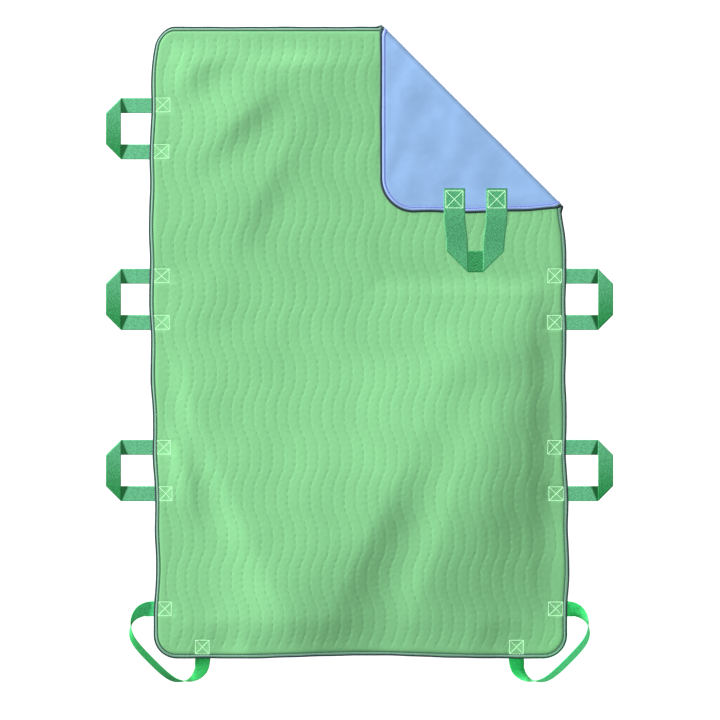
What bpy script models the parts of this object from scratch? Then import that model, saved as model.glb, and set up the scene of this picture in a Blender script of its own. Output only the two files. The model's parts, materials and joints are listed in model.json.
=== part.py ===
"""A quilted positioning bed pad with eight webbing handles and its head-right corner folded over.

The pad lies on a bed at z = 0. +X runs across it, +Y runs from the foot to the head, +Z is up.
The pad is a stack of four sheets held by an overlocked edge. The stack is cut along the fold
line of the corner, so that the folded corner can turn on a hinge. Metres throughout.
"""

import math

import bmesh
import bpy
from mathutils import Matrix, Vector

# Pad outline
PAD_WIDTH = 0.864
PAD_LENGTH = 1.321
PAD_MIDDLE_Y = 0.0242  # the foot handles reach past the pad, so the box's middle is off the pad's
HEAD_CORNER_RADIUS = 0.042
FOOT_CORNER_RADIUS = 0.050
FOLDED_CORNER_RADIUS = 0.075
FOLD_LEG = 0.390  # from the folded corner to each end of its fold line, along the edges
FOLD_CLEARANCE = 0.0004
CORNER_STEPS = 8

# Sheets, from the bed upwards, and the space that touching pieces keep
GAP = 0.0003
WEBBING_THICKNESS = 0.0015
BACKING_THICKNESS = 0.0006
FILM_THICKNESS = 0.0003
CORE_THICKNESS = 0.0024
FACING_THICKNESS = 0.0008
THREAD_THICKNESS = 0.0004
PAD_BOTTOM = WEBBING_THICKNESS + GAP
FILM_BOTTOM = PAD_BOTTOM + BACKING_THICKNESS + GAP
CORE_BOTTOM = FILM_BOTTOM + FILM_THICKNESS + GAP
FACING_BOTTOM = CORE_BOTTOM + CORE_THICKNESS + GAP
PAD_TOP = FACING_BOTTOM + FACING_THICKNESS
THREAD_BOTTOM = PAD_TOP + GAP
THREAD_TOP = THREAD_BOTTOM + THREAD_THICKNESS

# Edge and hem
OVERLOCK_WIDTH = 0.0035
HEM_INSET = 0.008
HEM_STITCH_WIDTH = 0.001

# Handles
SIDE_WEBBING_WIDTH = 0.032
SIDE_LEG_SPACING = 0.097
SIDE_REACH = 0.097
SIDE_STATIONS = (0.213, 0.570, 0.928)  # from the head edge
FLAP_WEBBING_WIDTH = 0.0445
FLAP_LEG_SPACING = 0.088
FLAP_REACH = 0.122
FLAP_SEWN_LENGTH = 0.051
FLAP_TAPER = 0.006  # how much nearer each leg is to the middle at the grip
FLAP_STATION = 0.200  # from the head edge, when the corner is unfolded
FLAP_DROOP = math.radians(1.9)
FOOT_STATION = 0.104  # from the corner to the middle of each sewn end
SEWN_LENGTH = 0.044
ROOT_OVERHANG = 0.0012  # how far a sewn end stands out past the pad's edge
HINGE_HEIGHT = 0.0048  # a loop lifts over the pad about the middle of its edge
FLAP_HINGE_HEIGHT = -0.0012  # just off the blue side, which the folded corner's loop lifts over
BOX_STITCH_SIZE = 0.030
FLAP_BOX_STITCH_SIZE = 0.037
BOX_STITCH_INSET = 0.0092
BOX_THREAD_WIDTH = 0.0012

# The foot handle's middle line, seen from above, from one root to half way round the corner.
# Each point is (along the foot edge, up the side edge) from the pad's sharp corner.
FOOT_PATH = ((-0.0015, 0.104), (-0.026, 0.098), (-0.0430, 0.074), (-0.0395, 0.040), (-0.003, -0.003))
# The strap's lean at those points: flat at its root, past upright at the middle of its run
FOOT_LEAN = (0.0, 38.0, 88.0, 108.0, 114.0)
FOOT_STEPS = 5

FACING_GREEN = (0.30, 0.66, 0.35)
WEBBING_GREEN = (0.10, 0.48, 0.24)
BACKING_BLUE = (0.32, 0.50, 0.86)
NAVY = (0.02, 0.05, 0.10)
THREAD_MINT = (0.48, 0.84, 0.55)
HEM_GREEN = (0.07, 0.22, 0.13)
CORE_WHITE = (0.85, 0.86, 0.84)
FILM_WHITE = (0.75, 0.80, 0.86)

SIDE_WEBBING = (SIDE_WEBBING_WIDTH, SEWN_LENGTH)
SIDE_STITCH = (BOX_STITCH_SIZE, THREAD_BOTTOM)
FLAP_STITCH_BOTTOM = -GAP - THREAD_THICKNESS  # it shows on the blue side, over the webbing
LEFT = -PAD_WIDTH / 2
RIGHT = PAD_WIDTH / 2
FOOT = PAD_MIDDLE_Y - PAD_LENGTH / 2
HEAD = PAD_MIDDLE_Y + PAD_LENGTH / 2
FOLD_SUM = RIGHT + HEAD - FOLD_LEG  # x + y along the fold line
FOLD_MIDDLE = Vector((RIGHT - FOLD_LEG / 2, HEAD - FOLD_LEG / 2, THREAD_TOP + GAP / 2))
FOLD_DIRECTION = Vector((1, -1, 0)).normalized()


def make_material(name, colour, roughness):
    material = bpy.data.materials.new(name)
    material.use_nodes = True
    shader = material.node_tree.nodes["Principled BSDF"]
    shader.inputs["Base Color"].default_value = (*colour, 1.0)
    shader.inputs["Roughness"].default_value = roughness
    shader.inputs["Metallic"].default_value = 0.0
    return material


def add_object(name, mesh_data, colour, parent=None, roughness=0.9):
    """Adds a named object from a finished bmesh, with its own material."""
    mesh = bpy.data.meshes.new(name)
    bmesh.ops.recalc_face_normals(mesh_data, faces=mesh_data.faces)
    mesh_data.to_mesh(mesh)
    mesh_data.free()
    obj = bpy.data.objects.new(name, mesh)
    mesh.materials.append(make_material(name, colour, roughness))
    bpy.context.scene.collection.objects.link(obj)
    obj.parent = parent
    return obj


def add_axis(name, matrix, parent=None):
    """An empty that stands on a joint's axis. What hangs from it moves as one body."""
    axis = bpy.data.objects.new(name, None)
    bpy.context.scene.collection.objects.link(axis)
    axis.parent = parent
    axis.matrix_local = matrix
    return axis


def corner_arc(corner, radius, start_degrees):
    """Points of a quarter circle that rounds a corner, counter-clockwise from its start angle."""
    signs = {0: (-1, -1), 90: (1, -1), 180: (1, 1), 270: (-1, 1)}[start_degrees]
    centre = Vector((corner[0] + signs[0] * radius, corner[1] + signs[1] * radius))
    points = []
    for step in range(CORNER_STEPS + 1):
        angle = math.radians(start_degrees + 90 * step / CORNER_STEPS)
        points.append(centre + radius * Vector((math.cos(angle), math.sin(angle))))
    return points


def panel_outline(inset):
    """The pad without its folded corner, counter-clockwise, moved in from the edge by inset."""
    limit = FOLD_SUM - math.sqrt(2) * FOLD_CLEARANCE
    points = [Vector((RIGHT - inset, limit - (RIGHT - inset)))]
    points.append(Vector((limit - (HEAD - inset), HEAD - inset)))
    head_left = (LEFT + inset, HEAD - inset)
    foot_left = (LEFT + inset, FOOT + inset)
    foot_right = (RIGHT - inset, FOOT + inset)
    points += corner_arc(head_left, HEAD_CORNER_RADIUS - inset, 90)
    points += corner_arc(foot_left, FOOT_CORNER_RADIUS - inset, 180)
    points += corner_arc(foot_right, FOOT_CORNER_RADIUS - inset, 270)
    return points


def flap_outline(inset):
    """The folded corner as it lies when unfolded, counter-clockwise, moved in by inset."""
    limit = FOLD_SUM + math.sqrt(2) * FOLD_CLEARANCE
    points = [Vector((limit - (HEAD - inset), HEAD - inset))]
    points.append(Vector((RIGHT - inset, limit - (RIGHT - inset))))
    head_right = (RIGHT - inset, HEAD - inset)
    points += corner_arc(head_right, FOLDED_CORNER_RADIUS - inset, 0)
    return points


def plate(outline, bottom, top, origin):
    """A flat sheet of the given outline. Its coordinates are taken from origin."""
    shape = bmesh.new()
    flat = [shape.verts.new((p.x - origin.x, p.y - origin.y, bottom - origin.z)) for p in outline]
    face = shape.faces.new(flat)
    upper = bmesh.ops.extrude_face_region(shape, geom=[face])["geom"]
    raised = [item for item in upper if isinstance(item, bmesh.types.BMVert)]
    bmesh.ops.translate(shape, verts=raised, vec=(0, 0, top - bottom))
    return shape


def band(outer, inner, bottom, top, origin):
    """An open strip between two outlines that have the same number of points."""
    shape = bmesh.new()
    rings = []
    for height in (bottom, top):
        for outline in (outer, inner):
            points = [(p.x - origin.x, p.y - origin.y, height - origin.z) for p in outline]
            rings.append([shape.verts.new(point) for point in points])
    low_outer, low_inner, high_outer, high_inner = rings
    for here, there in ((low_outer, low_inner), (high_outer, high_inner)):
        bridge_strip(shape, here, there)
    bridge_strip(shape, low_outer, high_outer)
    bridge_strip(shape, low_inner, high_inner)
    for end in (0, -1):
        shape.faces.new((low_outer[end], low_inner[end], high_inner[end], high_outer[end]))
    return shape


def bridge_strip(shape, first, second):
    for index in range(len(first) - 1):
        shape.faces.new((first[index], first[index + 1], second[index + 1], second[index]))


def edge_run(outline):
    """The outline's points along the real edge, from one end of the fold line to the other."""
    return outline[1:] + outline[:1]


def close_rings(shape, rings):
    """Joins rings of four points into one closed bar."""
    for here, there in zip(rings, rings[1:]):
        for side in range(4):
            other = (side + 1) % 4
            shape.faces.new((here[side], here[other], there[other], there[side]))
    shape.faces.new(rings[0])
    shape.faces.new(rings[-1])


def block(shape, low, high):
    """Adds a closed box between two corners."""
    rings = []
    for x in (low[0], high[0]):
        corners = ((low[1], low[2]), (high[1], low[2]), (high[1], high[2]), (low[1], high[2]))
        rings.append([shape.verts.new((x, y, z)) for y, z in corners])
    close_rings(shape, rings)


def boxed_cross(middle_x, size, bottom, top):
    """A square of thread with a cross in it, centred on the X axis at middle_x."""
    shape = bmesh.new()
    half = size / 2
    inner = half - BOX_THREAD_WIDTH
    cut = BOX_THREAD_WIDTH / math.sqrt(2)
    arm = inner - cut
    turns = ((1, 0, 0, 1), (0, -1, 1, 0), (-1, 0, 0, -1), (0, 1, -1, 0))
    layers = []
    for height in (bottom, top):
        corners, apexes, starts, ends = [], [], [], []
        for a, b, c, d in turns:
            for bucket, (u, v) in (
                (corners, (half, half)),
                (apexes, (0, cut)),
                (starts, (-arm, inner)),
                (ends, (arm, inner)),
            ):
                x = middle_x + a * u + b * v
                bucket.append(shape.verts.new((x, c * u + d * v, height)))
        layers.append((corners, apexes, starts, ends))
    for corners, apexes, starts, ends in layers:
        shape.faces.new(apexes)
        for index in range(4):
            before = index - 1
            shape.faces.new((corners[index - 3], starts[index], ends[index], corners[index]))
            shape.faces.new((corners[index], ends[index], starts[before]))
            shape.faces.new((apexes[index], ends[index], starts[before], apexes[before]))
    for index in range(4):
        low_corners, low_apexes, low_starts, low_ends = layers[0]
        high_corners, high_apexes, high_starts, high_ends = layers[1]
        hole_low = (low_apexes[index], low_ends[index], low_starts[index])
        hole_high = (high_apexes[index], high_ends[index], high_starts[index])
        for side in range(3):
            wall = (hole_low[side - 1], hole_low[side], hole_high[side], hole_high[side - 1])
            shape.faces.new(wall)
        edge_low = (low_corners[index - 1], low_corners[index])
        shape.faces.new((*edge_low, high_corners[index], high_corners[index - 1]))
    return shape


def folded_strap(width, spacing, reach, taper):
    """A flat strap that leaves the edge twice and turns each corner with a 45 degree fold.

    The legs lie on the bed and the grip lies on top of them, so a corner is two layers thick.
    Its X runs outwards from the edge and its Z is zero at the bed.
    """
    one, two = WEBBING_THICKNESS, 2 * WEBBING_THICKNESS
    near, far = reach - width, reach
    root_outer, root_inner = (spacing + width) / 2, (spacing - width) / 2
    outer, inner = root_outer - taper, root_inner - taper
    shape = bmesh.new()
    corner = {}

    def vert(x, y, z):
        key = (round(x, 6), round(y, 6), round(z, 6))
        if key not in corner:
            corner[key] = shape.verts.new(key)
        return corner[key]

    def face(*points):
        shape.faces.new([vert(*point) for point in points])

    def wall(start, end, bottom, top):
        face((*start, bottom), (*end, bottom), (*end, top), (*start, top))

    for side in (1, -1):
        out, inn = side * outer, side * inner
        leg = ((0, side * root_inner), (near, inn), (near, out), (0, side * root_outer))
        fold = ((near, inn), (far, inn), (near, out))
        face(*[(*point, 0) for point in leg])
        face(*[(*point, one) for point in leg])
        face(*[(*point, 0) for point in fold])
        face(*[(*point, two) for point in fold])
        wall(leg[0], leg[1], 0, one)
        wall(leg[2], leg[3], 0, one)
        wall(leg[3], leg[0], 0, one)
        wall(fold[1], fold[2], 0, one)
        wall(fold[1], fold[2], one, two)
        wall(fold[2], fold[0], one, two)
        wall(fold[0], fold[1], 0, one)
    grip = ((near, -inner), (far, -inner), (far, inner), (near, inner))
    face(*[(*point, one) for point in grip])
    face(*[(*point, two) for point in grip])
    wall(grip[1], grip[2], one, two)
    wall(grip[3], grip[0], one, two)
    return shape


def add_sewn_end(name, base, webbing, cross, pad_axis):
    """One end of a strap, under the pad's edge, and the boxed cross that sews it on.

    base takes the end's own space to its parent's: X outwards, origin on the pad's edge.
    webbing is (width, sewn length), and cross is (size, height of its underside).
    """
    width, length = webbing
    size, bottom = cross
    end = bmesh.new()
    block(end, (-length, -width / 2, 0), (ROOT_OVERHANG, width / 2, WEBBING_THICKNESS))
    end.transform(base)
    add_object(f"{name}_sewn_end", end, WEBBING_GREEN, pad_axis)
    middle_x = -BOX_STITCH_INSET - size / 2
    stitch = boxed_cross(middle_x, size, bottom, bottom + THREAD_THICKNESS)
    stitch.transform(base)
    add_object(f"{name}_box_stitch", stitch, THREAD_MINT, pad_axis)


def add_straight_handle(name, base, webbing, loop_size, cross, swing, pad_axis):
    """A loop on its hinge, its two sewn ends and their stitching, as in add_sewn_end.

    loop_size is (leg spacing, reach from the edge, taper), and swing is (height of the hinge,
    how far the loop droops from it at rest).
    """
    spacing, reach, taper = loop_size
    hinge_height, droop = swing
    for end_name, y in (("first", -spacing / 2), ("second", spacing / 2)):
        end_base = base @ Matrix.Translation((0, y, 0))
        add_sewn_end(f"{name}_{end_name}", end_base, webbing, cross, pad_axis)
    hinge_spot = Matrix.Translation((ROOT_OVERHANG + GAP, 0, hinge_height))
    hinge = add_axis(f"{name}_hinge", base @ hinge_spot @ Matrix.Rotation(-droop, 4, "Y"), pad_axis)
    loop = folded_strap(webbing[0], spacing, reach - ROOT_OVERHANG - GAP, taper)
    bmesh.ops.translate(loop, verts=loop.verts, vec=(0, 0, -hinge_height))
    add_object(f"{name}_loop", loop, WEBBING_GREEN, hinge)


def smooth_value(values, position):
    """A Catmull-Rom curve through values, at a position counted in points from the first."""
    index = min(int(position), len(values) - 2)
    t = position - index
    p1, p2 = values[index], values[index + 1]
    p0 = values[index - 1] if index > 0 else 2 * p1 - p2
    p3 = values[index + 2] if index + 2 < len(values) else 2 * p2 - p1
    return 0.5 * (2 * p1 + (p2 - p0) * t + (2 * p0 - 5 * p1 + 4 * p2 - p3) * t**2
                  + (3 * p1 - p0 - 3 * p2 + p3) * t**3)


def foot_strap(mirror):
    """The strap round a foot corner, flat at both roots and tipped up on its edge between them.

    Its coordinates are taken from the pad's sharp corner. mirror is -1 for the right corner.
    """
    half_path = [Vector((*point, 0)) for point in FOOT_PATH]
    path = half_path + [Vector((p.y, p.x, 0)) for p in reversed(half_path[:-1])]
    lean = list(FOOT_LEAN) + list(reversed(FOOT_LEAN[:-1]))
    count = (len(path) - 1) * FOOT_STEPS
    shape = bmesh.new()
    rings = []
    for step in range(count + 1):
        position = step / FOOT_STEPS
        here = smooth_value(path, position)
        ahead = smooth_value(path, min(position + 0.02, len(path) - 1))
        behind = smooth_value(path, max(position - 0.02, 0))
        along = (ahead - behind).normalized()
        if step == 0:
            along = Vector((-1, 0, 0))
        if step == count:
            along = Vector((0, 1, 0))
        outwards = Vector((along.y, -along.x, 0))
        angle = math.radians(smooth_value(lean, position))
        across = outwards * math.cos(angle) + Vector((0, 0, math.sin(angle)))
        normal = across.cross(along)
        if normal.z < 0 and angle < math.pi / 4:
            normal = -normal
        half_width = across * SIDE_WEBBING_WIDTH / 2
        half_thick = normal.normalized() * WEBBING_THICKNESS / 2
        corners = [half_width + half_thick, half_thick - half_width,
                   -half_width - half_thick, half_width - half_thick]
        lowest = min(corner.z for corner in corners)
        middle = here + Vector((0, 0, -lowest))
        points = [middle + corner for corner in corners]
        rings.append([shape.verts.new((mirror * p.x, p.y, p.z)) for p in points])
    close_rings(shape, rings)
    return shape


def add_foot_handle(name, mirror):
    corner = Vector((mirror * LEFT, FOOT, 0))
    side_base = Matrix.Translation((corner.x, corner.y + FOOT_STATION, 0))
    foot_base = Matrix.Translation((corner.x + mirror * FOOT_STATION, corner.y, 0))
    side_turn = Matrix.Rotation(math.pi if mirror > 0 else 0, 4, "Z")
    foot_turn = Matrix.Rotation(-math.pi / 2, 4, "Z")
    for end_name, base in (("side", side_base @ side_turn), ("foot", foot_base @ foot_turn)):
        add_sewn_end(f"{name}_{end_name}", base, SIDE_WEBBING, SIDE_STITCH, None)
    half_way = (FOOT_STATION - ROOT_OVERHANG - GAP) / 2
    spot = Vector((mirror * half_way, half_way, HINGE_HEIGHT))
    turn = Matrix.Rotation(mirror * math.pi / 4, 4, "Z")
    hinge = add_axis(f"{name}_hinge", Matrix.Translation(corner + spot) @ turn)
    loop = foot_strap(mirror)
    loop.transform((Matrix.Translation(spot) @ turn).inverted())
    add_object(f"{name}_loop", loop, WEBBING_GREEN, hinge)


def add_panel_set(prefix, outline_at, origin, axis):
    """The four sheets, the edge and the threads of one side of the fold."""
    sheet_edge = outline_at(OVERLOCK_WIDTH + GAP)
    sheets = (
        ("backing_sheet", PAD_BOTTOM, BACKING_THICKNESS, BACKING_BLUE, 0.55),
        ("barrier_film", FILM_BOTTOM, FILM_THICKNESS, FILM_WHITE, 0.4),
        ("soaker_core", CORE_BOTTOM, CORE_THICKNESS, CORE_WHITE, 0.95),
        ("facing_sheet", FACING_BOTTOM, FACING_THICKNESS, FACING_GREEN, 0.85),
    )
    for name, bottom, thickness, colour, roughness in sheets:
        shape = plate(sheet_edge, bottom, bottom + thickness, origin)
        add_object(prefix + name, shape, colour, axis, roughness)
    outer, inner = edge_run(outline_at(0)), edge_run(outline_at(OVERLOCK_WIDTH))
    edge = band(outer, inner, PAD_BOTTOM, PAD_TOP, origin)
    add_object(prefix + "edge_overlock", edge, NAVY, axis)
    outer = edge_run(outline_at(HEM_INSET - HEM_STITCH_WIDTH))
    inner = edge_run(outline_at(HEM_INSET))
    hem = band(outer, inner, THREAD_BOTTOM, THREAD_TOP, origin)
    add_object(prefix + "hem_topstitch", hem, HEM_GREEN, axis)


def main():
    for obj in list(bpy.data.objects):
        bpy.data.objects.remove(obj, do_unlink=True)

    pad_origin = Vector((0, 0, 0))
    add_panel_set("", panel_outline, pad_origin, None)

    fold = Matrix.Translation(FOLD_MIDDLE) @ Matrix.Rotation(math.pi, 4, FOLD_DIRECTION)
    fold_axis = add_axis("corner_fold_axis", fold)
    add_panel_set("flap_", flap_outline, FOLD_MIDDLE, fold_axis)

    side_loop = (SIDE_LEG_SPACING, SIDE_REACH, 0.0)
    side = (SIDE_WEBBING, side_loop, SIDE_STITCH, (HINGE_HEIGHT, 0.0), None)
    for name, station in zip(("head", "middle", "lower"), SIDE_STATIONS):
        edge = Matrix.Translation((LEFT, HEAD - station, 0)) @ Matrix.Rotation(math.pi, 4, "Z")
        add_straight_handle(f"left_{name}_handle", edge, *side)
    for name, station in zip(("middle", "lower"), SIDE_STATIONS[1:]):
        edge = Matrix.Translation((RIGHT, HEAD - station, 0))
        add_straight_handle(f"right_{name}_handle", edge, *side)

    edge = Matrix.Translation(Vector((RIGHT, HEAD - FLAP_STATION, 0)) - FOLD_MIDDLE)
    webbing = (FLAP_WEBBING_WIDTH, FLAP_SEWN_LENGTH)
    loop_size = (FLAP_LEG_SPACING, FLAP_REACH, FLAP_TAPER)
    cross = (FLAP_BOX_STITCH_SIZE, FLAP_STITCH_BOTTOM)
    swing = (FLAP_HINGE_HEIGHT, FLAP_DROOP)
    add_straight_handle("corner_handle", edge, webbing, loop_size, cross, swing, fold_axis)

    add_foot_handle("foot_left_handle", 1)
    add_foot_handle("foot_right_handle", -1)


main()
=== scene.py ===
"""A quilted positioning bed pad with webbing handles, its head-right corner folded over.

Every cloth piece is first laid out as it was cut, flat, and then folded with the corner.
"""

import json
import math

import bpy
import numpy as np
from mathutils import Matrix, Vector


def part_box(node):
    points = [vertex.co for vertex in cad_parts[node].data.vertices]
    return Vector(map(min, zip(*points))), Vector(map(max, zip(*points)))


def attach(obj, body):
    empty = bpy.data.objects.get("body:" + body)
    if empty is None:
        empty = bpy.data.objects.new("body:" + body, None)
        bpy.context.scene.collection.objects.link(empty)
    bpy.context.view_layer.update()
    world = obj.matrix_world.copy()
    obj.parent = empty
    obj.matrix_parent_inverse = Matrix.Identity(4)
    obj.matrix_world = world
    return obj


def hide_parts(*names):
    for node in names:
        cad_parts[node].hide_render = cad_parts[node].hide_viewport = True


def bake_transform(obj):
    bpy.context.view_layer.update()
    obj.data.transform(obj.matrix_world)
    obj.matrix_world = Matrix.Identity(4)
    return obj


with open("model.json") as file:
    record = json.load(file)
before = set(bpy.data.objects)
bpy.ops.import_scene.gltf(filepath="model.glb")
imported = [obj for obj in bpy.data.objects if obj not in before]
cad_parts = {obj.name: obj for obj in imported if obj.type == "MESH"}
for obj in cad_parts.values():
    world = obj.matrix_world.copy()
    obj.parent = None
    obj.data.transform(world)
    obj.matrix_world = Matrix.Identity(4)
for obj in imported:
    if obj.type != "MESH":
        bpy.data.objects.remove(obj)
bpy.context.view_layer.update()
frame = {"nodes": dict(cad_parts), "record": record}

# ---------------- places, from the frame

MM = 0.001
JOINTS = {joint["name"]: joint for joint in frame["record"]["behaviour"]["joints"]}
(LEFT, FOOT, UNDERSIDE), (RIGHT, HEAD, TOP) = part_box("edge_overlock")
MIDDLE_X, MIDDLE_Y = (LEFT + RIGHT) / 2, (FOOT + HEAD) / 2

FOLD_POINT = np.array(JOINTS["corner_fold"]["pos_m"])
FOLD_AXIS = np.array(JOINTS["corner_fold"]["axis"])
FOLD_OUTWARDS = np.array([-FOLD_AXIS[0], FOLD_AXIS[1], 0.0])  # across the fold line, to the corner
FOLD_HALF = 9 * MM  # half of the strip of cloth that rolls round the fold

# The pad's corners, anticlockwise: x, y, which way is out in x and in y, radius
CORNERS = (
    (RIGHT, HEAD, 1, 1, 75 * MM),
    (LEFT, HEAD, -1, 1, 42 * MM),
    (LEFT, FOOT, -1, -1, 50 * MM),
    (RIGHT, FOOT, 1, -1, 50 * MM),
)
FLAP_LEG = 390 * MM  # how far along each edge the folded corner reaches
FLAP_HANDLE_REACH = 140 * MM  # how far its handle hangs past it, over the pad

QUILT_PITCH = 23.6 * MM  # between lines of quilting
QUILT_WAVE = 173 * MM  # length of one wave of a line
QUILT_SWING = 9 * MM  # how far a line waves to each side
QUILT_PHASE = 90 * MM  # where along the pad a line of quilting crosses its own middle
QUILT_START = 26 * MM  # from the edge to the first line of quilting
STITCH_PITCH = 13.4 * MM  # between stitches of one line
QUILT_STITCH = 6.5 * MM  # length of a stitch that shows

OVERLOCK_WIDTH = 5.0 * MM
WRAP_PITCH = 2.4 * MM  # between the overlock's threads
HEM_BAND_WIDTH = 2.6 * MM
HEM_STITCH_INSET = 8.8 * MM
HEM_STITCH_PITCH = 3.9 * MM
HEM_STITCH = 3.5 * MM  # length of a stitch that shows
BACKING_SHIFT = 1.6 * MM  # the overlock reaches further in on the blue side, and so does its hem

# Soft rises in the pad where it doesn't lie flat: middle x and y, the way the ridge runs in
# degrees from +X, half its length, its half width on the left and on the right, height in mm
RISES = (
    (0.012, -0.370, 64, 0.250, 0.240, 0.062, 9.5),
    (0.175, -0.390, 72, 0.240, 0.042, 0.080, 3.8),
    (0.245, -0.280, 85, 0.270, 0.270, 0.125, 20.0),
    (0.280, 0.010, 8, 0.140, 0.110, 0.070, 5.0),
    (-0.248, -0.318, 114, 0.320, 0.045, 0.200, 8.5),
    (-0.165, -0.590, 104, 0.150, 0.120, 0.140, 11.0),
    (-0.385, -0.225, 112, 0.090, 0.040, 0.035, 7.0),
    (-0.258, 0.495, 44, 0.100, 0.080, 0.042, 6.5),
    (-0.350, 0.600, 36, 0.110, 0.090, 0.045, 4.5),
    (-0.212, 0.343, 62, 0.110, 0.110, 0.042, 4.5),
    (-0.130, 0.590, 4, 0.110, 0.045, 0.200, 4.0),
)


# ---------------- the cloth's shape

def smooth(t):
    """0 below 0, 1 above 1 and an even step between."""
    t = np.clip(t, 0.0, 1.0)
    return t * t * (3 - 2 * t)


def hump(distance, width):
    """1 at no distance, falling away to both sides."""
    return np.exp(-((distance / width) ** 2))


def ripple(x, y, size, seed):
    """A smooth, repeatable unevenness between -1 and 1, of about the given wavelength."""
    total = np.zeros_like(x)
    for index in range(5):
        angle = 2.4 * index + seed
        waves = 2 * math.pi / (size * (0.8 + 0.13 * index))
        shift = 1.7 * seed + 2.9 * index
        total += np.sin((x * math.cos(angle) + y * math.sin(angle)) * waves + shift)
    return total / 3.2


def edge_distance(x, y):
    """How far a point is inside the pad's straight edges."""
    return np.minimum(np.minimum(x - LEFT, RIGHT - x), np.minimum(y - FOOT, HEAD - y))


def fold_distance(x, y):
    """How far a point of the flat pad is past the fold line, towards the corner."""
    return (x - FOLD_POINT[0]) * FOLD_OUTWARDS[0] + (y - FOLD_POINT[1]) * FOLD_OUTWARDS[1]


def under_flap(x, y):
    """1 where the folded corner or its handle lies on the pad, and past the fold; 0 elsewhere."""
    reach = np.minimum(x - (RIGHT - FLAP_LEG), y - (HEAD - FLAP_LEG - FLAP_HANDLE_REACH))
    return smooth((reach + 0.035) / 0.05)


def lift(x, y):
    """Height of the soft rises.

    The pad lies flat at its corners, along its sides and head and under the folded corner. The
    foot edge lifts a little between the two foot handles.
    """
    height = np.zeros_like(x)
    for mid_x, mid_y, run, half_length, left_width, right_width, rise in RISES:
        angle = math.radians(run)
        along = (x - mid_x) * math.cos(angle) + (y - mid_y) * math.sin(angle)
        across = (x - mid_x) * math.sin(angle) - (y - mid_y) * math.cos(angle)
        width = np.where(across < 0, left_width, right_width)
        height += rise * MM * hump(along, half_length) * hump(across, width)
    height += 0.35 * MM * (1 + ripple(x, y, 0.16, 3.0))
    held = smooth((edge_distance(x, y) - 0.012) / 0.075)
    from_side = np.minimum(x - LEFT, RIGHT - x)
    loose_foot = 0.8 * smooth((from_side - 0.125) / 0.08) * (y < MIDDLE_Y)
    return height * (held + (1 - held) * loose_foot) * (1 - under_flap(x, y))


def side_wander(x, y):
    """Sideways shift of the two long edges."""
    ripples = 1.2 * MM * np.sin((y - FOOT) / 0.16 * 2 * math.pi + 0.6)
    left_bow = -8 * MM * np.sin((HEAD - y) / 1.75 * 2 * math.pi) * smooth((y - FOOT) / 0.25)
    left_bow += 7 * MM * hump(HEAD - y, 0.055)
    right_bow = 6 * MM * hump(y + 0.42, 0.16)
    near_left = hump(x - LEFT, 0.05)
    near_right = hump(x - RIGHT, 0.05)
    return ripples * (near_left + near_right) + left_bow * near_left + right_bow * near_right


def settle(x, y):
    """Small shifts in the plane: the edges wander and the fold's lower end is drawn up."""
    foot_bow = np.cos(np.clip((x - MIDDLE_X) / 0.31, -1, 1) * math.pi / 2) ** 2
    shift = 7 * MM * foot_bow * hump(y - FOOT, 0.16)
    below = FOLD_POINT[1] + FOLD_POINT[0] - RIGHT - y
    from_end = np.hypot(x - RIGHT, below)
    drawn = 13 * MM * hump(from_end, np.where(below > 0, 0.032, 0.085))
    return x + side_wander(x, y) + drawn * FOLD_AXIS[0], y + shift + drawn * FOLD_AXIS[1]


def round_corners(x, y):
    """Bends a rectangle's square corners into the pad's round ones."""
    x, y = x.copy(), y.copy()
    for corner_x, corner_y, sign_x, sign_y, radius in CORNERS:
        centre_x = corner_x - sign_x * radius
        centre_y = corner_y - sign_y * radius
        a = (x - centre_x) * sign_x / radius
        b = (y - centre_y) * sign_y / radius
        inside = (a > 0) & (b > 0)
        a, b = a[inside], b[inside]
        ring = np.maximum(a, b)
        low = np.minimum(a, b) / np.maximum(ring, 1e-9) * math.pi / 4
        angle = np.where(a >= b, low, math.pi / 2 - low)
        x[inside] = centre_x + sign_x * radius * ring * np.cos(angle)
        y[inside] = centre_y + sign_y * radius * ring * np.sin(angle)
    return x, y


def laid(x, y, z):
    """Points of the flat cut at a height in the stack, with the pad's rises and shifts."""
    height = z + lift(x, y)
    x, y = settle(x, y)
    return np.stack([x, y, height], axis=-1)


def turned(points, point, axis, angles):
    """Points turned about an axis, each by its own angle."""
    arms = points - point
    cos, sin = np.cos(angles)[..., None], np.sin(angles)[..., None]
    along = (arms @ axis)[..., None] * axis
    return point + arms * cos + np.cross(axis, arms) * sin + along * (1 - cos)


def folded(points):
    """The flat pad's points, with the corner folded over as it rests."""
    past = fold_distance(points[..., 0], points[..., 1])
    share = smooth(past / (2 * FOLD_HALF) + 0.5)
    return turned(points, FOLD_POINT, FOLD_AXIS, -math.pi * share)


# ---------------- meshes

def new_object(name, points, faces, uvs=None, zones=None):
    """An object from points and faces, with each point's place on the cloth as it was cut."""
    mesh = bpy.data.meshes.new(name)
    mesh.from_pydata(np.asarray(points).reshape(-1, 3).tolist(), [], faces)
    mesh.update()
    for layer_name, values in (("cloth", uvs), ("zones", zones)):
        if values is None:
            continue
        corners = np.empty(len(mesh.loops), dtype=np.int32)
        mesh.loops.foreach_get("vertex_index", corners)
        spots = np.asarray(values).reshape(-1, 2)[corners].astype(np.float32)
        mesh.uv_layers.new(name=layer_name).data.foreach_set("uv", spots.ravel())
    mesh.shade_smooth()
    obj = bpy.data.objects.new(name, mesh)
    bpy.context.scene.collection.objects.link(obj)
    return obj


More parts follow.
